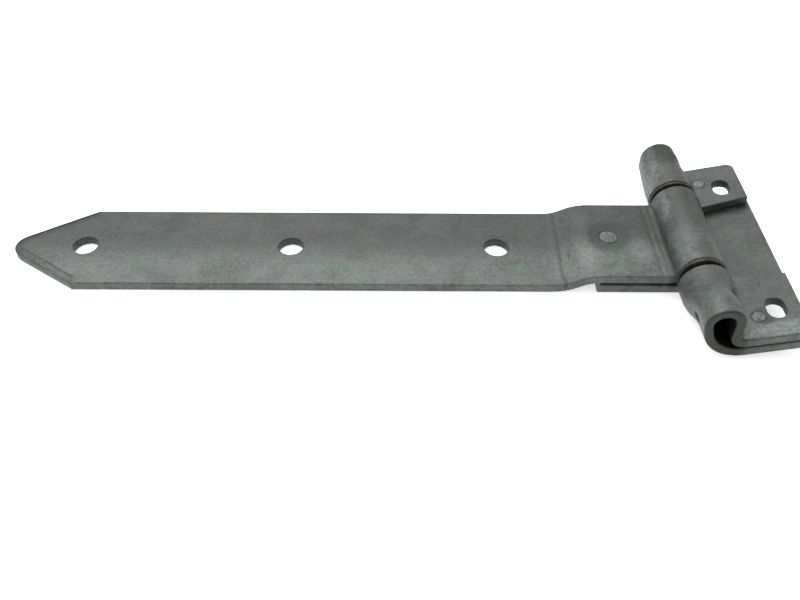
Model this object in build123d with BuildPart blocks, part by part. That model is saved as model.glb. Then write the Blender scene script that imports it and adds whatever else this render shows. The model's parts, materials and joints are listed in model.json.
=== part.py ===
"""T hinge: a long galvanised strap, a folded frame leaf and the pin that they turn on.

The origin is the centre of the strap's middle bolt hole, on the strap's back face. +X runs along
the strap towards the pin and the leaf, +Y along the pin, and +Z out of the strap's front face.
The strap lies flat, and the leaf is lifted by leaf_tilt, which is the hinge's rest position.
"""
import os
from math import cos, pi, radians, sin, sqrt

from build123d import *

# Driving dimensions, in millimetres and degrees
sheet = 3.5                  # thickness of the strap's and the leaf's plate
strap_width = 40.0
strap_hole_d = 9.0
hole_pitch = 75.5            # between the strap's bolt holes
pin_to_last_hole = 68.5
nose_length = 25.7           # from the first hole, where the taper starts, to the tip
nose_radius = 6.0
layer_gap = 0.9              # between the strap's two layers behind the knuckle
joggle_end = 33.0            # from the pin's axis to the top of the joggle
joggle_length = 17.0
valley_radius = 1.4          # where the strap's front face turns up into the knuckle

pin_d = 10.0
pin_clearance = 0.05         # radial, pin in each knuckle
pin_far_end = 29.0           # along Y from the strap's centre line
pin_near_end = -28.5

leaf_tilt = 12.0             # leaf lifted from flat at rest
leaf_reach = 27.9            # from the pin's axis to the leaf's outer edge
tab_reach = 27.0             # and to the folded tabs' outer edges
leaf_far_edge = 39.8         # along Y from the strap's centre line
leaf_near_edge = -50.4
far_knuckle_start = 22.9
near_knuckle_start = -23.5
far_knuckle_end = 41.3
leaf_seam = 0.5              # open seam between a folded tab and the plate under it
notch_reach = 10.5           # from the pin's axis to the notch for the strap's knuckle
far_squeeze = (29.2, 41.3)   # each leaf knuckle is squeezed to keep the pin in: where that
near_squeeze = (-28.7, -44.0)    # starts, and where it is complete
slot_width = 6.0
slot_length = 8.8            # along Y, end to end
slot_reach = 19.3            # from the pin's axis
slot_y = {"far": 26.4, "near": -38.1}
under_slot_width = 8.4       # larger slot in the plate, under each tab's slot
under_slot_length = 13.0
under_slot_shift = (1.1, 2.6)    # from the tab's slot, along the leaf and along Y

washer_d = 16.4
washer_thickness = 1.2
strap_rivet_d = 6.6
strap_rivet_reach = 27.8     # from the pin's axis
strap_rivet_y = 1.5
tab_rivet_d = 4.6
tab_rivet_place = {"far": (12.0, 30.4), "near": (13.0, -41.0)}      # from the pin's axis, and Y
rivet_clearance = 0.03

# Places worked out from them
bore_r = pin_d / 2 + pin_clearance
knuckle_r = bore_r + sheet
mid_r = bore_r + sheet / 2
half_width = strap_width / 2
axis_x = hole_pitch + pin_to_last_hole
axis_z = knuckle_r
nose_x = -hole_pitch - nose_length
upper_z = sheet + layer_gap              # underside of the strap's upper layer
strap_front_z = upper_z + sheet
tab_w = sheet + leaf_seam                # underside of a folded tab, from the leaf's back face
leaf_front_w = tab_w + sheet

tilt = radians(leaf_tilt)
u_dir = Vector(cos(tilt), 0, sin(tilt))      # along the leaf, away from the pin
w_dir = Vector(-sin(tilt), 0, cos(tilt))     # out of the leaf's front face
leaf_foot = Vector(axis_x, 0, axis_z) - w_dir * knuckle_r

os.makedirs("parts", exist_ok=True)


def leaf_section(y):
    """Plane across the leaf at y: its x runs along the leaf, its y out of the front face."""
    return Plane(origin=leaf_foot + Vector(0, y, 0), x_dir=u_dir, z_dir=(0, -1, 0))


def leaf_plan(w):
    """Plane parallel to the leaf's back face, w in front of it."""
    return Plane(origin=leaf_foot + w_dir * w, x_dir=u_dir, z_dir=w_dir)


def save(node, name):
    node.part.label = name
    export_step(node.part, f"parts/{name}.step")


# ---------------------------------------------------------------- strap
# One flat bar: from the tip it runs flat, joggles up, turns up in a valley, goes over the pin
# and comes back underneath, where its end lies against the joggle.
valley_mid_r = valley_radius + sheet / 2
valley_z = strap_front_z + valley_radius
valley_rise = valley_z - axis_z
valley_x = axis_x - sqrt((mid_r + valley_mid_r) ** 2 - valley_rise ** 2)
meet = mid_r / (mid_r + valley_mid_r)
meet_point = (axis_x + (valley_x - axis_x) * meet, axis_z + valley_rise * meet)

joggle_x1 = axis_x - joggle_end
joggle_x0 = joggle_x1 - joggle_length
joggle_mid = ((joggle_x0 + joggle_x1) / 2, (sheet + upper_z) / 2)
tail_x = joggle_x1 - 1.5

dish_r = 9.0                 # shallow dish that the rivet pulls into the upper layer
dish_depth = 0.45
dimple_seam = 0.1            # open seam left between the layers at the rivet
dimple_foot_r = 5.5
rivet_x = axis_x - strap_rivet_reach
rivet_sink_r = 4.9           # countersunk end of the rivet in the back face
rivet_sink_depth = 1.6
rivet_plane = Plane(origin=(rivet_x, strap_rivet_y, 0), x_dir=(1, 0, 0), z_dir=(0, -1, 0))
rivet_axis = Axis((rivet_x, strap_rivet_y, 0), (0, 0, 1))

with BuildPart() as strap:
    with BuildSketch(Plane.XZ.offset(-half_width)):
        with BuildLine():
            flat = Line((nose_x - 1, sheet / 2), (joggle_x0, sheet / 2))
            rise = TangentArc(flat @ 1, joggle_mid, tangent=(1, 0))
            level = TangentArc(rise @ 1, (joggle_x1, upper_z + sheet / 2), tangent=rise % 1)
            top = Line(level @ 1, (valley_x, upper_z + sheet / 2))
            valley = TangentArc(top @ 1, meet_point, tangent=(1, 0))
            crown = ThreePointArc(valley @ 1, (axis_x, axis_z + mid_r), (axis_x + mid_r, axis_z))
            under = TangentArc(crown @ 1, (axis_x, sheet / 2), tangent=(0, -1))
            Line(under @ 1, (tail_x, sheet / 2))
        trace(line_width=sheet)
    extrude(amount=strap_width)
    with BuildSketch():
        with Locations((nose_x + nose_radius, 0)):
            Circle(nose_radius)
        with Locations((-hole_pitch, 0)):
            Rectangle(axis_x + 2 * knuckle_r + hole_pitch, strap_width, align=(Align.MIN, Align.CENTER))
        make_hull()
    extrude(amount=axis_z + knuckle_r + 1, mode=Mode.INTERSECT)
    with GridLocations(hole_pitch, 0, 3, 1):
        Hole(strap_hole_d / 2)
    # the dish round the rivet, and the metal that it pushes down on to the lower layer
    with BuildSketch(rivet_plane):
        with BuildLine():
            rim = Line((0, strap_front_z), (dish_r, strap_front_z))
            floor = TangentArc((0, strap_front_z - dish_depth), rim @ 1, tangent=(1, 0))
            Line(floor @ 0, rim @ 0)
        make_face()
    revolve(axis=rivet_axis, mode=Mode.SUBTRACT)
    with Locations((rivet_x, strap_rivet_y, sheet + dimple_seam)):
        Cone(dimple_foot_r, dish_r, layer_gap, align=(Align.CENTER, Align.CENTER, Align.MIN))
    with Locations((rivet_x, strap_rivet_y, 0)):
        Hole(strap_rivet_d / 2)
        Cone(rivet_sink_r, strap_rivet_d / 2, rivet_sink_depth,
             align=(Align.CENTER, Align.CENTER, Align.MIN), mode=Mode.SUBTRACT)
save(strap, "strap")

# ---------------------------------------------------------------- strap rivet
# Its front end is a low dome in the dish, and its back end fills the countersink, flush.
rivet_dome = 0.35
rivet_rim_lift = 0.1         # of the dome's edge above the dish
rivet_rim_z = strap_front_z - dish_depth + rivet_rim_lift

with BuildPart() as strap_rivet:
    with BuildSketch(rivet_plane):
        shank_r = strap_rivet_d / 2 - rivet_clearance
        with BuildLine():
            dome = TangentArc((0, rivet_rim_z + rivet_dome), (shank_r, rivet_rim_z), tangent=(1, 0))
            Polyline(dome @ 1, (shank_r, rivet_sink_depth), (rivet_sink_r - rivet_clearance, 0),
                     (0, 0), dome @ 0)
        make_face()
    revolve(axis=rivet_axis)
save(strap_rivet, "strap_rivet")

# ---------------------------------------------------------------- frame leaf
# One plate with a tongue at each end. Each tongue rolls up and over the pin, comes down in an
# S bend and lies folded on the plate as a tab. The outer end of each knuckle is squeezed into a
# tall, narrow loop that the pin can't pass.
plate_start = 8.0            # where the rolled part of a tongue leaves the plate
tab_start = 10.4             # where it becomes the flat tab
tab_inner_edge = 9.5         # of the tab beside the strap's knuckle, from the pin's axis
tab_mid_w = tab_w + sheet / 2
bend_radius = 3.25           # centre line of the S bend at the round part of a knuckle
pinched_bend = Vector(6.3, tab_mid_w)       # end of the S bend at the squeezed end
pinched_bend_radius = 3.0
pinched_foot = {"far": Vector(4.6, 13.15), "near": Vector(6.3, 13.15)}   # centre of the loop's
pinched_crown = {"far": Vector(-1.6, 15.3), "near": Vector(-0.5, 15.75)}  # foot, and of its crown
pinched_crown_radius = 4.75
pinched_thinning = 0.6       # of the wall, on the pin's side, where the metal is stretched
wall_points = 34

with BuildLine(mode=Mode.PRIVATE) as round_middle:
    reach = mid_r + bend_radius
    lift = tab_mid_w + bend_radius - knuckle_r
    bend_end = Vector(sqrt(reach ** 2 - lift ** 2), tab_mid_w)
    touch = Vector(0, knuckle_r) + (bend_end + Vector(0, bend_radius - knuckle_r)) * (mid_r / reach)
    plate = Line((plate_start, sheet / 2), (0, sheet / 2))
    back = TangentArc(plate @ 1, (0, knuckle_r + mid_r), tangent=(-1, 0))
    front = TangentArc(back @ 1, touch, tangent=(1, 0))
    bend = TangentArc(front @ 1, bend_end, tangent=front % 1)
    Line(bend @ 1, (tab_start, tab_mid_w))

pinched_middle = {}
for end, foot_centre in pinched_foot.items():
    crown_side = Vector(pinched_crown_radius, 0)
    with BuildLine(mode=Mode.PRIVATE) as middle:
        plate = Line((plate_start, sheet / 2), (foot_centre.X, sheet / 2))
        left_u = foot_centre.X - (foot_centre.Y - sheet / 2)
        foot = TangentArc(plate @ 1, (left_u, foot_centre.Y), tangent=(-1, 0))
        shoulder = Line(foot @ 1, pinched_crown[end] - crown_side)
        crown = TangentArc(shoulder @ 1, pinched_crown[end] + crown_side, tangent=(0, 1))
        neck = Line(crown @ 1, pinched_bend + Vector(-pinched_bend_radius, pinched_bend_radius))
        bend = TangentArc(neck @ 1, pinched_bend, tangent=(0, -1))
        Line(bend @ 1, (tab_start, tab_mid_w))
    pinched_middle[end] = middle.line


def wall(end, squeeze, side):
    """Points of one face of a rolled tongue: side is 1 outside and -1 towards the pin.

    squeeze goes from 0, round, to 1, pinched.
    """
    points = []
    for i in range(wall_points + 1):
        t = i / wall_points
        middle = (round_middle.line @ t) * (1 - squeeze) + (pinched_middle[end] @ t) * squeeze
        along = (round_middle.line % t) * (1 - squeeze) + (pinched_middle[end] % t) * squeeze
        along = along.normalized()
        reach = side * sheet / 2
        if side < 0:
            reach += pinched_thinning * squeeze * sin(pi * t) ** 2
        points.append(middle + Vector(-along.Y, along.X) * reach)
    return points


def tongue_section(end, y, squeeze):
    """Closed outline of the rolled part of a tongue at y."""
    with BuildSketch(leaf_section(y)) as section:
        with BuildLine():
            outer = Spline(*wall(end, squeeze, 1), tangents=((-1, 0), (1, 0)))
            inner = Spline(*wall(end, squeeze, -1), tangents=((-1, 0), (1, 0)))
            Line(outer @ 1, inner @ 1)
            Line(inner @ 0, outer @ 0)
        make_face()
    return section.sketch


# For each end: the sections across its knuckle, as Y and squeeze, and the outlines of its tab and
# of the plate under it, from the pin's axis and along Y. The far knuckle narrows faster and
# faster to its end, and the near one eases into a squeezed part that stays the same.
squeeze_steps = 8
far_squeeze_power = 1.8
steps = [i / squeeze_steps for i in range(squeeze_steps + 1)]
far_span = far_squeeze[1] - far_squeeze[0]
near_span = near_squeeze[1] - near_squeeze[0]
sections = {
    "far": [(far_squeeze[0] + far_span * t, t ** far_squeeze_power) for t in steps],
    "near": [(near_squeeze[0] + near_span * t, (1 - cos(pi * t)) / 2) for t in steps]
            + [(leaf_near_edge, 1)],
}
knuckle_start = {"far": far_knuckle_start, "near": near_knuckle_start}
tab_outlines = {
    "far": [(tab_inner_edge, 16.4), (tab_reach, 18.7), (tab_reach, leaf_far_edge),
            (tab_start, leaf_far_edge), (tab_start, far_knuckle_start),
            (tab_inner_edge, far_knuckle_start)],
    "near": [(tab_start, leaf_near_edge), (tab_reach, leaf_near_edge), (tab_reach, -22.8),
             (tab_inner_edge, -21.8), (tab_inner_edge, near_knuckle_start),
             (tab_start, near_knuckle_start)],
}
plate_outline = [(plate_start, leaf_near_edge), (leaf_reach, leaf_near_edge), (leaf_reach, leaf_far_edge),
                 (plate_start, leaf_far_edge), (plate_start, far_knuckle_start),
                 (notch_reach, far_knuckle_start), (notch_reach, near_knuckle_start),
                 (plate_start, near_knuckle_start)]
slope_start = 5.2            # the far end's slope down to the tab's edge, from the pin's axis
slope_end = 8.4
slope_top = 12.0             # from the leaf's back face
past_tab = tab_start + 1
past_end = far_knuckle_end + 1
far_slope = [(slope_start, far_knuckle_end), (slope_end, leaf_far_edge), (past_tab, leaf_far_edge),
             (past_tab, past_end), (slope_start, past_end)]
tab_corner_r = 3.0
plate_corner_r = 8.0         # of the plate's near corner, under the tab

with BuildPart() as frame_leaf:
    with BuildSketch(leaf_plan(0)):
        with BuildLine():
            Polyline(*plate_outline, close=True)
        outline = make_face()
        corners = outline.vertices().group_by(Axis.X)[-1].sort_by(Axis.Y)
        fillet(corners[-1], tab_corner_r)
        fillet(corners[0], plate_corner_r)
    extrude(amount=sheet)
    for end, cuts in sections.items():
        extrude(tongue_section(end, cuts[0][0], 0), amount=cuts[0][0] - knuckle_start[end])
        loft([tongue_section(end, y, squeeze) for y, squeeze in cuts], ruled=True)
        with BuildSketch(leaf_plan(tab_w)):
            with BuildLine():
                Polyline(*tab_outlines[end], close=True)
            tab = make_face()
            corners = tab.vertices().group_by(Axis.X)[-1].sort_by(Axis.Y)
            fillet(corners[-1 if end == "far" else 0], tab_corner_r)
        extrude(amount=sheet)
    # the far end slopes from the knuckle's end to the tab's edge
    with BuildSketch(leaf_plan(0)):
        with BuildLine():
            Polyline(*far_slope, close=True)
        make_face()
    extrude(amount=slope_top, mode=Mode.SUBTRACT)
    with BuildSketch(leaf_plan(0)):
        for y in slot_y.values():
            with Locations((slot_reach, y)):
                SlotOverall(slot_length, slot_width, rotation=90)
        with Locations(*tab_rivet_place.values()):
            Circle(tab_rivet_d / 2)
    extrude(amount=leaf_front_w, mode=Mode.SUBTRACT)
    with BuildSketch(leaf_plan(0)):
        for y in slot_y.values():
            with Locations((slot_reach + under_slot_shift[0], y + under_slot_shift[1])):
                SlotOverall(under_slot_length, under_slot_width, rotation=90)
    extrude(amount=sheet, mode=Mode.SUBTRACT)
save(frame_leaf, "frame_leaf")

# ---------------------------------------------------------------- tab rivets
tab_rivet_dome = 0.6
for end, (reach, y) in tab_rivet_place.items():
    with BuildPart() as tab_rivet:
        centre = leaf_foot + u_dir * reach + Vector(0, y, 0)
        with BuildSketch(Plane(origin=centre, x_dir=u_dir, z_dir=(0, -1, 0))):
            shank_r = tab_rivet_d / 2 - rivet_clearance
            with BuildLine():
                dome = TangentArc((0, leaf_front_w + tab_rivet_dome), (shank_r, leaf_front_w), tangent=(1, 0))
                Polyline(dome @ 1, (shank_r, 0), (0, 0), dome @ 0)
            make_face()
        revolve(axis=Axis(centre, w_dir))
    save(tab_rivet, f"tab_rivet_{end}")

# ---------------------------------------------------------------- pin
pin_chamfer = 0.8
with BuildPart() as hinge_pin:
    with BuildSketch(Plane.XZ.offset(-pin_far_end)):
        with Locations((axis_x, axis_z)):
            Circle(pin_d / 2)
    extrude(amount=pin_far_end - pin_near_end)
    chamfer(hinge_pin.edges().filter_by(GeomType.CIRCLE), pin_chamfer)
save(hinge_pin, "hinge_pin")

# ---------------------------------------------------------------- brass thrust washers
# One lies against each end of the gap between the strap's knuckle and the leaf's.
washer_chamfer = 0.25
washer_y = {"far": far_knuckle_start, "near": -half_width}
for end, y in washer_y.items():
    with BuildPart() as washer:
        with BuildSketch(Plane.XZ.offset(-y)):
            with Locations((axis_x, axis_z)):
                Circle(washer_d / 2)
                Circle(bore_r, mode=Mode.SUBTRACT)
        extrude(amount=washer_thickness)
        chamfer(washer.edges().filter_by(GeomType.CIRCLE).group_by(SortBy.RADIUS)[-1], washer_chamfer)
    save(washer, f"washer_{end}")
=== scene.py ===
import json
from math import cos, radians, sin, sqrt

import bpy
import numpy as np
from mathutils import Matrix, Vector


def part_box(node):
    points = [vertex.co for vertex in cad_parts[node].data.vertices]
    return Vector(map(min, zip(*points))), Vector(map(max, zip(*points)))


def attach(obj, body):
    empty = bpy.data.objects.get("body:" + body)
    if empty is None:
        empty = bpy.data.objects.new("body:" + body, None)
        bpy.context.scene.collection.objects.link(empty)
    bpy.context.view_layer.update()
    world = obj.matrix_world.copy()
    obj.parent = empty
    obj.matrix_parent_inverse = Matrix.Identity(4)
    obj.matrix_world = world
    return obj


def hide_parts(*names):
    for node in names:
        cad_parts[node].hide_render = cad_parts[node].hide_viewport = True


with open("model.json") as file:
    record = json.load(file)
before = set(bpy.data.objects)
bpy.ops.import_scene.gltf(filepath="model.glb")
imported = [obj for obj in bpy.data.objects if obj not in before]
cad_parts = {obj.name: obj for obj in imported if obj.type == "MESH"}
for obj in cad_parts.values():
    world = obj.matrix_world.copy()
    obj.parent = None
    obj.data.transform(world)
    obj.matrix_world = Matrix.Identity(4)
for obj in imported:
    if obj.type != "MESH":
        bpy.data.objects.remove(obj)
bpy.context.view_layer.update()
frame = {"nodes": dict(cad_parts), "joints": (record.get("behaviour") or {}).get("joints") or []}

MM = 0.001
pin_axis = Vector(frame["joints"][0]["pos_m"])
leaf_tilt = radians(12.0)
u_dir = Vector((cos(leaf_tilt), 0, sin(leaf_tilt)))      # along the leaf, away from the pin
w_dir = Vector((-sin(leaf_tilt), 0, cos(leaf_tilt)))     # out of the leaf's front face
knuckle_r = 8.55 * MM
leaf_foot = pin_axis - w_dir * knuckle_r                 # on the leaf's back face, under the pin
strap_low, strap_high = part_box("strap")
leaf_low, leaf_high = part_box("frame_leaf")
rivet_low, rivet_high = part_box("strap_rivet")
rivet_centre = (rivet_low + rivet_high) / 2

# places that both the shapes and the finishes use
taper_x = -75.5 * MM                                     # where the strap starts to narrow
taper_slope = 0.649
nose_r = 6.0 * MM
crease_x = pin_axis.x - 46.2 * MM                        # die line at the foot of the joggle
die_x = pin_axis.x - 12.5 * MM                           # die line before the knuckle
punch_w = 12.0 * MM                                      # punch mark, out of the leaf's back face
punch_y = leaf_low.y + 8.6 * MM


# ------------------------------------------------------------------ shader helpers

def give(node, inputs):
    """Sets a node's inputs: a Field is linked in, anything else becomes the input's own value."""
    for key, value in inputs.items():
        if isinstance(value, Field):
            value.tree.links.new(value.output, node.inputs[key])
        else:
            node.inputs[key].default_value = value


def add_node(tree, kind, inputs, result, **settings):
    """Adds a shader node with its settings and inputs, and returns its output as a Field."""
    node = tree.nodes.new("ShaderNode" + kind)
    for key, value in settings.items():
        setattr(node, key, value)
    give(node, inputs)
    return Field(tree, node.outputs[result])


def mix(tree, factor, a, b, how="MIX"):
    """The colour a, mixed with the colour b by factor."""
    return add_node(tree, "Mix", {"Factor": factor, "A": a, "B": b}, "Result",
                    data_type="RGBA", blend_type=how)


class Field:
    """A value that nodes work out at each point of a surface, so formulas read as plain Python."""

    def __init__(self, tree, output):
        self.tree, self.output = tree, output

    def math(self, operation, other=0.0, clamp=False):
        """Any operation of the Math node, with this as its first number."""
        return add_node(self.tree, "Math", {0: self, 1: other}, 0,
                        operation=operation, use_clamp=clamp)

    def __add__(self, other):
        return self.math("ADD", other)

    def __sub__(self, other):
        return self.math("SUBTRACT", other)

    def __rsub__(self, other):
        return add_node(self.tree, "Math", {0: other, 1: self}, 0, operation="SUBTRACT")

    def __mul__(self, other):
        return self.math("MULTIPLY", other)

    def __truediv__(self, other):
        return self.math("DIVIDE", other)

    def __abs__(self):
        return self.math("ABSOLUTE")

    def remap(self, low, high, to_low, to_high, smooth=True):
        """Goes from to_low to to_high while this goes from low to high."""
        ends = {"From Min": low, "From Max": high, "To Min": to_low, "To Max": to_high}
        return add_node(self.tree, "MapRange", {"Value": self, **ends}, "Result",
                        interpolation_type="SMOOTHSTEP" if smooth else "LINEAR")

    def stretched(self, scale, offset=(0, 0, 0)):
        return add_node(self.tree, "Mapping",
                        {"Vector": self, "Scale": scale, "Location": offset}, "Vector")

    def shifted(self, offset):
        return self.stretched((1, 1, 1), offset)

    def noise(self, scale, detail, roughness, distortion=0.0):
        """Noise at this place, about 0.3 to 0.7."""
        return add_node(self.tree, "TexNoise",
                        {"Vector": self, "Scale": scale, "Detail": detail,
                         "Roughness": roughness, "Distortion": distortion}, "Fac")

    def bump(self, strength, distance):
        """A surface normal that treats this as the height."""
        return add_node(self.tree, "Bump",
                        {"Strength": strength, "Distance": distance, "Height": self}, "Normal")

    def split(self):
        """X, Y and Z as three fields."""
        node = self.tree.nodes.new("ShaderNodeSeparateXYZ")
        give(node, {"Vector": self})
        return [Field(self.tree, part) for part in node.outputs]


def strongest(*fields):
    """The largest of several fields at each point."""
    total = fields[0]
    for field in fields[1:]:
        total = total.math("MAXIMUM", field)
    return total


def length(a, b):
    """The length of the vector (a, b)."""
    return (a * a + b * b).math("SQRT")


def new_material(name):
    """A material, its node tree, its shader, and the place on the object as a Field."""
    material = bpy.data.materials.new(name)
    material.use_nodes = True
    tree = material.node_tree
    return (material, tree, tree.nodes["Principled BSDF"],
            add_node(tree, "TexCoord", {}, "Object"))


# ------------------------------------------------------------------ materials

# the pale colour of the painted highlights
painted_highlight_colour = (0.30, 0.325, 0.325, 1)
speck_colour = (0.020, 0.022, 0.020, 1)
# the dark colour of real blemishes and of painted shade
mark_and_shade_colour = (0.021, 0.024, 0.018, 1)
greenish, bluish, brownish = (0.86, 1.0, 0.94, 1), (0.90, 0.95, 1.0, 1), (1.0, 0.92, 0.80, 1)


def galvanised(name, dark, light, marks_and_shade=None, painted_light_gradient=None, painted_highlight=None):
    """Hot-dip zinc: cloudy grey with a coarse grain, dark specks, faint rubbed streaks and pimples.

    The darkening function (at, clouds, grain) gives a 0 to 1 darkening for die lines and halos,
    much of it painted shade.
    The shading slope (low y, high y, factor at low, factor at high) is painted light: it makes the
    colour lighter on one side of the bar and darker on the other.
    The highlight function (at, patches, mottle) gives a 0 to 1 lightening for patches of painted
    highlight.
    """
    material, tree, shader, place = new_material(name)
    at = place.split()
    clouds = place.noise(62, 5, 0.65, 0.5)
    patches = place.shifted((3.1, 1.7, 0.4)).noise(290, 5, 0.7)
    mottle = place.shifted((0.7, 2.9, 1.3)).noise(820, 4, 0.7)
    grain = place.noise(2400, 3, 0.65)
    streaks = place.stretched((0.06, 1, 1)).noise(900, 3, 0.6)
    tone = clouds.remap(0.34, 0.66, 0.02, 0.36) + patches.remap(0.32, 0.68, 0.0, 0.34)
    tone = tone + mottle.remap(0.30, 0.70, -0.17, 0.23) + grain.remap(0.3, 0.7, -0.13, 0.17)
    tone = tone.math("ADD", streaks.remap(0.35, 0.7, -0.04, 0.06), clamp=True)
    colour = mix(tree, tone, dark, light)
    hue = place.shifted((0.3, 5.2, 2.1)).noise(130, 4, 0.6)
    stain = place.shifted((6.1, 3.3, 0.9)).noise(240, 4, 0.6)
    for amount, tint in ((hue.remap(0.46, 0.62, 0.0, 1.0), greenish),
                         (hue.remap(0.48, 0.36, 0.0, 1.0), bluish),
                         (stain.remap(0.58, 0.70, 0.0, 1.0), brownish)):
        colour = mix(tree, amount, colour, tint, "MULTIPLY")
    # painted light: lighter on one side of the bar, darker on the other
    if painted_light_gradient:
        low_y, high_y, at_low, at_high = painted_light_gradient
        across = at[1] + clouds.remap(0.3, 0.7, -6.0 * MM, 6.0 * MM, smooth=False)
        shade = across.remap(low_y, high_y, at_low, at_high)
        grey = add_node(tree, "CombineXYZ", {0: shade, 1: shade, 2: shade}, "Vector")
        colour = mix(tree, 1.0, colour, grey, "MULTIPLY")
    # painted highlights: pale patches on the front face
    if painted_highlight:
        colour = mix(tree, painted_highlight(at, patches, mottle), colour, painted_highlight_colour)
    specks = place.shifted((4.4, 0.2, 2.2)).noise(1150, 2, 0.5).remap(0.66, 0.74, 0.0, 0.55)
    colour = mix(tree, specks, colour, speck_colour)
    # darkening from real blemishes and from painted shade
    if marks_and_shade:
        colour = mix(tree, marks_and_shade(at, clouds, grain), colour, mark_and_shade_colour)
    rough = patches.remap(0.3, 0.7, 0.46, 0.62) + grain.remap(0.3, 0.7, -0.05, 0.06)
    height = mottle * 0.8 + grain * 0.35
    give(shader, {"Base Color": colour, "Metallic": 0.30, "Roughness": rough,
                  "Normal": height.bump(0.9, 0.16 * MM)})
    return material


def line_mark(x, centre, half_width, strength):
    """strength on a soft line across the strap at x = centre, falling to 0 beside it."""
    return abs(x - centre).remap(0.0, half_width, strength, 0.0)


def patch(at, centre, reach, edge, strength):
    """strength inside a soft, ragged ellipse round centre, falling to 0 at its edge."""
    radius = length((at[0] - centre[0]) / reach[0], (at[1] - centre[1]) / reach[1])
    ragged = edge.remap(0.3, 0.7, -0.35, 0.35, smooth=False)
    return (radius + ragged).remap(0.55, 1.1, strength, 0.0)


def painted_highlights_on(places, least, low_z, high_z):
    """The painted highlights for galvanised(): patches of (centre, reach, strength) on the front
    face only.

    The mottle lets at least the share least of each patch through.
    """
    def painted_highlight(at, patches, mottle):
        cover = strongest(*[patch(at, centre, reach, patches, strength)
                            for centre, reach, strength in places])
        cover = cover * mottle.remap(0.35, 0.62, least, 1.0)
        return cover.math("MULTIPLY", at[2].remap(low_z, high_z, 0.0, 1.0), clamp=True)
    return painted_highlight


# painted highlights on the knuckle's strap side, and on both sides of the rivet
strap_highlights = painted_highlights_on((((pin_axis.x - 7.4 * MM, 12.5 * MM), (2.6 * MM, 9.0 * MM), 0.33),
                        ((pin_axis.x - 18.0 * MM, -5.5 * MM), (6.0 * MM, 7.5 * MM), 0.17),
                        ((pin_axis.x - 40.0 * MM, -8.0 * MM), (8.0 * MM, 7.5 * MM), 0.20)),
                       0.60, 6.0 * MM, 7.5 * MM)
# painted highlights on the far knuckle's strap side, and along the near tab's front edge
leaf_highlights = painted_highlights_on((((pin_axis.x - 8.0 * MM, 33.0 * MM), (3.4 * MM, 13.0 * MM), 0.33),
                       ((pin_axis.x + 20.0 * MM, leaf_low.y + 3.0 * MM),
                        (14.0 * MM, 4.0 * MM), 0.35)),
                      0.35, 4.0 * MM, 6.0 * MM)


def strap_marks_and_shade(at, clouds, grain):
    """Painted shade in the die lines, the bend at the knuckle's foot and the band round the tip,
    with the rivet tool's halo and a darker knuckle crown.
    """
    x, y, z = at
    wavy_x = x + (clouds - 0.5) * (6.0 * MM)
    # patchy breakup of the painted shade lines and of the band round the tip
    patchy = grain.remap(0.35, 0.62, 0.35, 1.0)
    nick = patch(at, (pin_axis.x - 43.0 * MM, -6.5 * MM), (0.5 * MM, 2.2 * MM), clouds, 0.8)
    # painted shade in the pressed crease and die line, with a real nick
    lines = strongest(line_mark(wavy_x, crease_x, 0.9 * MM, 0.85),
                      line_mark(wavy_x, die_x, 1.0 * MM, 0.50), nick) * patchy
    radius = length(wavy_x - rivet_centre.x, y - rivet_centre.y)
    halo = radius.remap(6.0 * MM, 10.5 * MM, 0.50, 0.0)
    ring = abs(radius - 3.5 * MM).remap(0.0, 0.6 * MM, 0.80, 0.0)
    # painted shade in the bend where the strap turns up into the knuckle
    fold_shade = abs(wavy_x - (pin_axis.x - 8.8 * MM)).remap(0.6 * MM, 2.2 * MM, 0.55, 0.0)
    # a darker band along the knuckle's crown
    crown = abs(wavy_x - (pin_axis.x + 0.8 * MM)).remap(1.5 * MM, 6.2 * MM, 0.26, 0.0)
    crown = crown * z.remap(11.0 * MM, 13.5 * MM, 0.0, 1.0)
    pits = patch(at, (pin_axis.x + 0.5 * MM, -15.0 * MM), (5.0 * MM, 4.2 * MM), clouds, 0.75)
    pits = pits * grain.remap(0.42, 0.60, 0.0, 1.0)
    # painted shade along the tip's edge, where the shears pulled the metal down: a dark line where
    # the roll starts, and a darker rolled edge
    to_taper = strap_high.y - (abs(y) + (taper_x - x) * taper_slope)
    to_taper = to_taper / sqrt(1 + taper_slope ** 2)
    off_x = x - (strap_low.x + nose_r)
    past_nose = (off_x + 3.4 * MM).math("MAXIMUM", 0.0)
    to_nose = (nose_r - length(off_x, y)) + past_nose * 100.0
    edge = to_taper.math("MINIMUM", to_nose) + (clouds - 0.5) * (1.6 * MM)
    band = abs(edge - 2.9 * MM).remap(0.1 * MM, 0.7 * MM, 0.95, 0.0)
    rolled = edge.remap(0.4 * MM, 1.2 * MM, 0.60, 0.0)
    tipward = x.remap(taper_x - 1.0 * MM, taper_x + 4.0 * MM, 1.0, 0.0)
    band = strongest(band, rolled) * tipward * patchy
    marks_and_shade = strongest(lines, halo, ring, fold_shade, crown, pits, band)
    return marks_and_shade.math("MULTIPLY", z.remap(1.0 * MM, 3.0 * MM, 0.0, 1.0), clamp=True)


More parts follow.
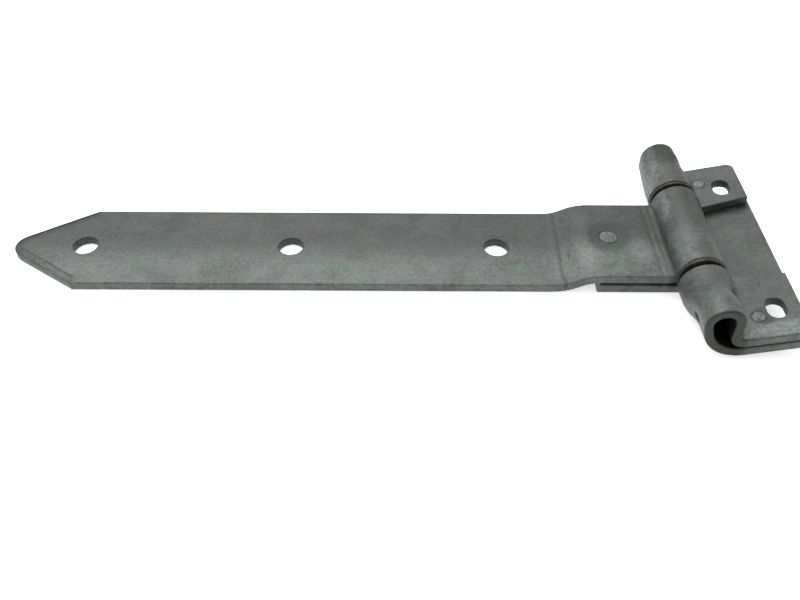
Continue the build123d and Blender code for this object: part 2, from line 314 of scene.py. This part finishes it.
def leaf_marks_and_shade(at, clouds, grain):
    """A darker ring round each tab rivet, painted shadow in the punch dent, and painted shade on
    the plate's near end.
    """
    x, y, z = at
    rings = []
    for rivet_u, rivet_y, outer, strength in ((12.0 * MM, 30.4 * MM, 4.2 * MM, 0.30),
                                              (13.0 * MM, -41.0 * MM, 4.8 * MM, 0.75)):
        centre = leaf_foot + u_dir * rivet_u
        radius = length(x - centre.x, y - rivet_y)
        rings.append(radius.remap(2.4 * MM, outer, strength, 0.0))
    rings = strongest(*rings) * clouds.remap(0.35, 0.60, 0.55, 1.0)
    wavy_y = y + (grain - 0.5) * (0.6 * MM)
    # painted shade on the near end face, weaker beyond the knuckle
    end = wavy_y.remap(leaf_low.y + 0.2 * MM, leaf_low.y + 1.3 * MM, 1.0, 0.0)
    end = end * x.remap(pin_axis.x + 6.0 * MM, pin_axis.x + 8.5 * MM, 1.0, 0.34)
    w = (x - leaf_foot.x) * w_dir.x + (z - leaf_foot.z) * w_dir.z
    # painted shadow in the punch dent
    punch = patch((w, y), (punch_w, punch_y), (1.6 * MM, 3.0 * MM), clouds, 1.0)
    punch = punch * x.remap(pin_axis.x - 6.0 * MM, pin_axis.x - 4.0 * MM, 1.0, 0.0)
    return strongest(rings, punch).math("MAXIMUM", end, clamp=True)


def painted_shade_bore(name):
    """Painted shade for the inside of a knuckle: near black and rough."""
    material, tree, shader, place = new_material(name)
    scale = place.noise(700, 4, 0.65)
    colour = mix(tree, scale.remap(0.35, 0.7, 0.0, 1.0),
                 (0.0025, 0.0027, 0.0025, 1), (0.010, 0.010, 0.009, 1))
    give(shader, {"Base Color": colour, "Roughness": scale.remap(0.3, 0.7, 0.65, 0.85),
                  "Specular IOR Level": 0.15})
    return material


def tarnished_and_shaded_brass(name):
    """Dull brass with darker blotches and fine turning grooves round the washer; its colour is kept
    very dark, which also stands in for the shade in the narrow gaps between the knuckles.
    """
    material, tree, shader, place = new_material(name)
    blotches = place.noise(420, 4, 0.6)
    turning = place.stretched((1, 0.1, 1)).noise(3000, 2, 0.5)
    # tarnish and painted shade: very dark olive colours
    colour = mix(tree, blotches.remap(0.35, 0.7, 0.0, 1.0),
                 (0.028, 0.029, 0.016, 1), (0.066, 0.062, 0.032, 1))
    give(shader, {"Base Color": colour, "Metallic": 0.55,
                  "Roughness": blotches.remap(0.3, 0.7, 0.38, 0.58),
                  "Normal": turning.bump(0.4, 0.05 * MM)})
    return material


# ------------------------------------------------------------------ pieces

def smoothstep(t):
    """An eased step from 0 at t = 0 to 1 at t = 1."""
    t = np.clip(t, 0.0, 1.0)
    return t * t * (3 - 2 * t)


def ripple(xyz, wavelengths, seed):
    """A few seeded sine waves across space, about -1 to 1, for dents and waviness."""
    rng = np.random.default_rng(seed)
    total = np.zeros(len(xyz))
    waves_each = 3
    for wavelength in wavelengths:
        for _ in range(waves_each):
            direction = rng.normal(size=3)
            direction /= np.linalg.norm(direction)
            phase = 2 * np.pi * (xyz @ direction) / wavelength
            total += np.sin(phase + rng.uniform(0, 2 * np.pi))
    return total / (waves_each * len(wavelengths))


def apply_modifiers(piece):
    """Replaces piece's mesh with the one that its modifiers give."""
    graph = bpy.context.evaluated_depsgraph_get()
    mesh = bpy.data.meshes.new_from_object(piece.evaluated_get(graph))
    piece.modifiers.clear()
    piece.data = mesh


def read_vectors(collection, name, count):
    """An array of one vector for each of a mesh's vertices or faces."""
    flat = np.empty(count * 3)
    collection.foreach_get(name, flat)
    return flat.reshape(-1, 3)


def add_smooth(piece, rounds):
    """Adds a Smooth modifier and returns it."""
    smooth = piece.modifiers.new("smooth", "SMOOTH")
    smooth.factor = 0.5
    smooth.iterations = rounds
    return smooth


def round_over(piece, weight):
    """Smooths piece much further, in proportion to weight(xyz), in five bands of weight."""
    bands, rounds = 5, 45
    amount = weight(read_vectors(piece.data.vertices, "co", len(piece.data.vertices)))
    group = piece.vertex_groups.new(name="soft")
    for band in range(1, bands + 1):
        members = np.nonzero(np.round(amount * bands) == band)[0]
        group.add(members.tolist(), band / bands, "REPLACE")
    add_smooth(piece, rounds).vertex_group = group.name
    apply_modifiers(piece)
    piece.vertex_groups.clear()


def pressed_steel(node, name, voxel, rounds, sculpt, keep, soft_end=None):
    """A copy of a CAD node with worn, rounded edges, its surface then moved by sculpt.

    sculpt(xyz, normals) gives the new places of the vertices.
    soft_end(xyz) gives 0 to 1 where the edges are rounded much more than elsewhere.
    keep is the share of the faces that stays.
    """
    piece = bpy.data.objects.new(name, frame["nodes"][node].data.copy())
    bpy.context.scene.collection.objects.link(piece)
    remesh = piece.modifiers.new("remesh", "REMESH")
    remesh.mode = "VOXEL"
    remesh.voxel_size = voxel
    add_smooth(piece, rounds)
    apply_modifiers(piece)
    if soft_end:
        round_over(piece, soft_end)
    mesh = piece.data
    count = len(mesh.vertices)
    moved = sculpt(read_vectors(mesh.vertices, "co", count),
                   read_vectors(mesh.vertex_normals, "vector", count))
    mesh.vertices.foreach_set("co", moved.astype(np.float32).ravel())
    mesh.update()
    piece.modifiers.new("decimate", "DECIMATE").ratio = keep
    apply_modifiers(piece)
    piece.data.shade_smooth()
    piece.data.materials.clear()
    return piece


def leaf_plane(xyz):
    """Each point's distance along the leaf from under the pin, and out from its back face."""
    off = xyz - np.array(leaf_foot)
    return off @ np.array(u_dir), off @ np.array(w_dir)


def sculpt_strap(xyz, normals):
    """Sheared edges roll over at the tip, die lines cross the bar, and it is never quite flat."""
    x, y = xyz[:, 0], xyz[:, 1]
    moved = xyz.copy()
    front = smoothstep((normals[:, 2] - 0.3) / 0.5)
    # die roll: the front face falls away towards the tip's and the taper's edges
    half = strap_high.y
    to_taper = (half - np.abs(y) - taper_slope * (taper_x - x)) / sqrt(1 + taper_slope ** 2)
    to_side = half - np.abs(y)
    to_nose = nose_r - np.hypot(x - strap_low.x - nose_r, y)
    to_nose = np.where(x < strap_low.x + 2.6 * MM, to_nose, half)
    edge = np.minimum(np.where(x < taper_x, to_taper, to_side), to_nose)
    tipward = smoothstep((taper_x + 3 * MM - x) / (4 * MM))
    roll = (0.10 + 0.60 * tipward) * MM * smoothstep(1 - edge / ((1.2 + 2.0 * tipward) * MM))
    moved[:, 2] -= roll * front
    # die lines pressed into the front face
    crease = np.exp(-((x - crease_x) / (0.55 * MM)) ** 2)
    die = np.exp(-((x - die_x) / (0.8 * MM)) ** 2)
    moved[:, 2] -= (0.16 * crease + 0.10 * die) * MM * front
    # the flat bar is a little wavy, and the knuckle a little dented
    flat = np.clip((pin_axis.x - 14 * MM - x) / (10 * MM), 0, 1)
    moved[:, 2] += 0.05 * MM * ripple(xyz * [1, 1, 0], (47 * MM, 21 * MM), 3) * front * flat
    knuckle = smoothstep((x - pin_axis.x + knuckle_r) / (3 * MM))
    outward = xyz - [pin_axis.x, 0, pin_axis.z]
    outward[:, 1] = 0
    distance = np.linalg.norm(outward, axis=1)
    outer = smoothstep((distance - 7.4 * MM) / (0.8 * MM))
    dent = 0.13 * MM * ripple(xyz, (23 * MM, 11 * MM), 8)
    moved += (outward / np.maximum(distance, 1e-9)[:, None]) * (dent * knuckle * outer)[:, None]
    return np.clip(moved, list(strap_low), list(strap_high))


def sculpt_leaf(xyz, normals):
    """The punch dents the near end, the far end bulges, and the rolled metal is slightly uneven."""
    moved = xyz.copy()
    u, w = leaf_plane(xyz)
    y = xyz[:, 1]
    rolled = smoothstep((9 * MM - u) / (3 * MM))
    outside = smoothstep((np.hypot(u, w - knuckle_r) - 7.2 * MM) / (0.8 * MM))
    moved += normals * (0.10 * MM * ripple(xyz, (19 * MM, 9 * MM), 5) * rolled * outside)[:, None]
    away = np.hypot((y - punch_y) * 0.65, w - punch_w)
    dimple = smoothstep(1 - away / (2.3 * MM)) * (u < 0) * outside
    moved[:, 0] += 1.2 * MM * dimple
    bulge = np.exp(-((y - leaf_high.y + 2.9 * MM) / (2.0 * MM)) ** 2)
    bulge = bulge * smoothstep((w - 9 * MM) / (2 * MM))
    bulge *= smoothstep(normals @ np.array(u_dir)) * (u > 0)
    moved += (0.9 * MM * bulge)[:, None] * np.array(u_dir)
    front = smoothstep((normals @ np.array(w_dir) - 0.5) / 0.4)
    flat = smoothstep((u - 10 * MM) / (3 * MM))
    wave = 0.05 * MM * ripple(xyz, (31 * MM, 13 * MM), 12) * front * flat
    moved += wave[:, None] * np.array(w_dir)
    return np.clip(moved, list(leaf_low), list(leaf_high))


def near_end(xyz):
    """1 at the leaf's near end, 0 from 2.2 mm in."""
    return smoothstep(1 - (xyz[:, 1] - leaf_low.y - 0.6 * MM) / (1.6 * MM))


def struck(axis, depth, seed):
    """A sculpt for a rivet whose front end was flattened by rough blows."""
    axis = np.array(axis)

    def sculpt(xyz, normals):
        front = smoothstep((normals @ axis - 0.35) / 0.4)
        blows = depth * (ripple(xyz, (3.1 * MM, 1.7 * MM), seed) - 0.3)
        return xyz + (front * blows)[:, None] * axis
    return sculpt


def paint_bore_shade(piece):
    """Gives the faces that look at the middle of a squeezed knuckle the second material, the bore's
    painted shade.
    """
    faces = piece.data.polygons
    centre = read_vectors(faces, "center", len(faces))
    normal = read_vectors(faces, "normal", len(faces))
    u, w = leaf_plane(centre)
    to_u, to_w = -0.5 * MM - u, 11.5 * MM - w
    distance = np.hypot(to_u, to_w)
    facing = (normal @ np.array(u_dir) * to_u + normal @ np.array(w_dir) * to_w) / distance
    y = centre[:, 1]
    deep = (y > leaf_low.y + 0.5 * MM) & (y < leaf_high.y - 0.5 * MM)
    inside = (facing > 0.15) & (u < 6.0 * MM) & (distance < 10.5 * MM) & deep
    faces.foreach_set("material_index", inside.astype(np.int32))


strap = pressed_steel("strap", "strap_steel", 0.34 * MM, 5, sculpt_strap, 0.22)
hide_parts("strap")
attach(strap, "strap_body")

leaf = pressed_steel("frame_leaf", "leaf_steel", 0.21 * MM, 7, sculpt_leaf, 0.16, near_end)
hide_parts("frame_leaf")
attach(leaf, "leaf_body")

strap_blows = struck((0, 0, 1), 0.12 * MM, 21)
far_blows = struck(w_dir, 0.22 * MM, 34)
near_blows = struck(w_dir, 0.40 * MM, 47)
rivets = [pressed_steel("strap_rivet", "strap_rivet_head", 0.16 * MM, 3, strap_blows, 0.4),
          pressed_steel("tab_rivet_far", "far_rivet_head", 0.13 * MM, 4, far_blows, 0.5),
          pressed_steel("tab_rivet_near", "near_rivet_head", 0.13 * MM, 4, near_blows, 0.5)]
for piece, node in zip(rivets, ("strap_rivet", "tab_rivet_far", "tab_rivet_near")):
    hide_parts(node)
    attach(piece, "strap_body" if node == "strap_rivet" else "leaf_body")

# the gradients run from a lighter near side to the far side, as in the photo
# painted light: both colours get lighter towards the near side
strap_zinc = galvanised("strap_zinc", (0.036, 0.040, 0.037, 1), (0.112, 0.120, 0.115, 1),
                        strap_marks_and_shade, (-10.0 * MM, 4.0 * MM, 1.53, 0.76), strap_highlights)
leaf_zinc = galvanised("leaf_zinc", (0.034, 0.039, 0.035, 1), (0.108, 0.117, 0.111, 1),
                       leaf_marks_and_shade, (-50.4 * MM, -30.0 * MM, 1.45, 1.0), leaf_highlights)
rivet_zinc = galvanised("rivet_zinc", (0.062, 0.070, 0.070, 1), (0.210, 0.224, 0.226, 1))
pin_zinc = galvanised("pin_zinc", (0.030, 0.033, 0.030, 1), (0.080, 0.086, 0.078, 1))
brass = tarnished_and_shaded_brass("washer_brass")
strap.data.materials.append(strap_zinc)
leaf.data.materials.append(leaf_zinc)
# the inside of the knuckle gets near-black painted shade
leaf.data.materials.append(painted_shade_bore("knuckle_bore_painted_shade"))
paint_bore_shade(leaf)
for piece in rivets:
    piece.data.materials.append(rivet_zinc)
for node, material in (("hinge_pin", pin_zinc), ("washer_far", brass), ("washer_near", brass)):
    frame["nodes"][node].material_slots[0].material = material


# ------------------------------------------------------------------ camera, light and floor

def photo_camera():
    """The camera that was fitted to the photo."""
    camera = bpy.data.objects.new("camera", bpy.data.cameras.new("camera"))
    bpy.context.scene.collection.objects.link(camera)
    camera.data.lens = 35.70
    camera.data.sensor_width = 36.0
    camera.data.clip_start = 0.01
    place = Vector((0.0400, -0.2194, 0.19665))
    pitch, yaw, roll = 44.796, -0.056, 0.341         # degrees; pitch is up from straight down
    camera.matrix_world = (Matrix.Translation(place)
                           @ Matrix.Rotation(radians(yaw), 4, "Z")
                           @ Matrix.Rotation(radians(pitch), 4, "X")
                           @ Matrix.Rotation(radians(roll), 4, "Z"))
    bpy.context.scene.camera = camera
    bpy.context.scene.view_settings.view_transform = "Standard"


def studio_world():
    """An even white room, brighter overhead and behind the object than in front of it.

    It lights the object with that slope, and looks plain white itself.
    """
    world = bpy.data.worlds.new("studio")
    world.use_nodes = True
    tree = world.node_tree
    brightest = (-0.10, 0.45, 0.89)
    direction = add_node(tree, "TexCoord", {}, "Generated")
    lean = add_node(tree, "VectorMath", {0: direction, 1: brightest}, "Value",
                    operation="DOT_PRODUCT")
    seen = add_node(tree, "LightPath", {}, "Is Camera Ray")
    give(tree.nodes["Background"], {"Color": (1.0, 1.0, 1.0, 1),
                                    "Strength": strongest(lean.remap(-0.3, 1.0, 0.25, 1.15), seen)})
    bpy.context.scene.world = world


def softbox(name, place, target, size, power):
    """A rectangular light at place that points at target."""
    light = bpy.data.objects.new(name, bpy.data.lights.new(name, "AREA"))
    light.data.shape = "RECTANGLE"
    light.data.size, light.data.size_y = size
    light.data.energy = power
    light.location = place
    aim = Vector(target) - Vector(place)
    light.rotation_euler = aim.to_track_quat("-Z", "Y").to_euler()
    bpy.context.scene.collection.objects.link(light)


def pale_floor():
    """White paper under the object, which glows a little so that it looks plain white."""
    bpy.ops.mesh.primitive_plane_add(size=6, location=(0.04, 0.5, -0.1 * MM))
    floor = bpy.context.object
    floor.name = "floor"
    paper = bpy.data.materials.new("white_paper")
    paper.use_nodes = True
    give(paper.node_tree.nodes["Principled BSDF"],
         {"Base Color": (0.90, 0.90, 0.90, 1), "Roughness": 0.9, "Specular IOR Level": 0.1,
          "Emission Color": (1, 1, 1, 1), "Emission Strength": 0.60})
    floor.data.materials.append(paper)


photo_camera()
studio_world()
softbox("key", (-0.15, 0.45, 0.75), (0.05, 0.0, 0.0), (0.9, 0.5), 6.0)
pale_floor()
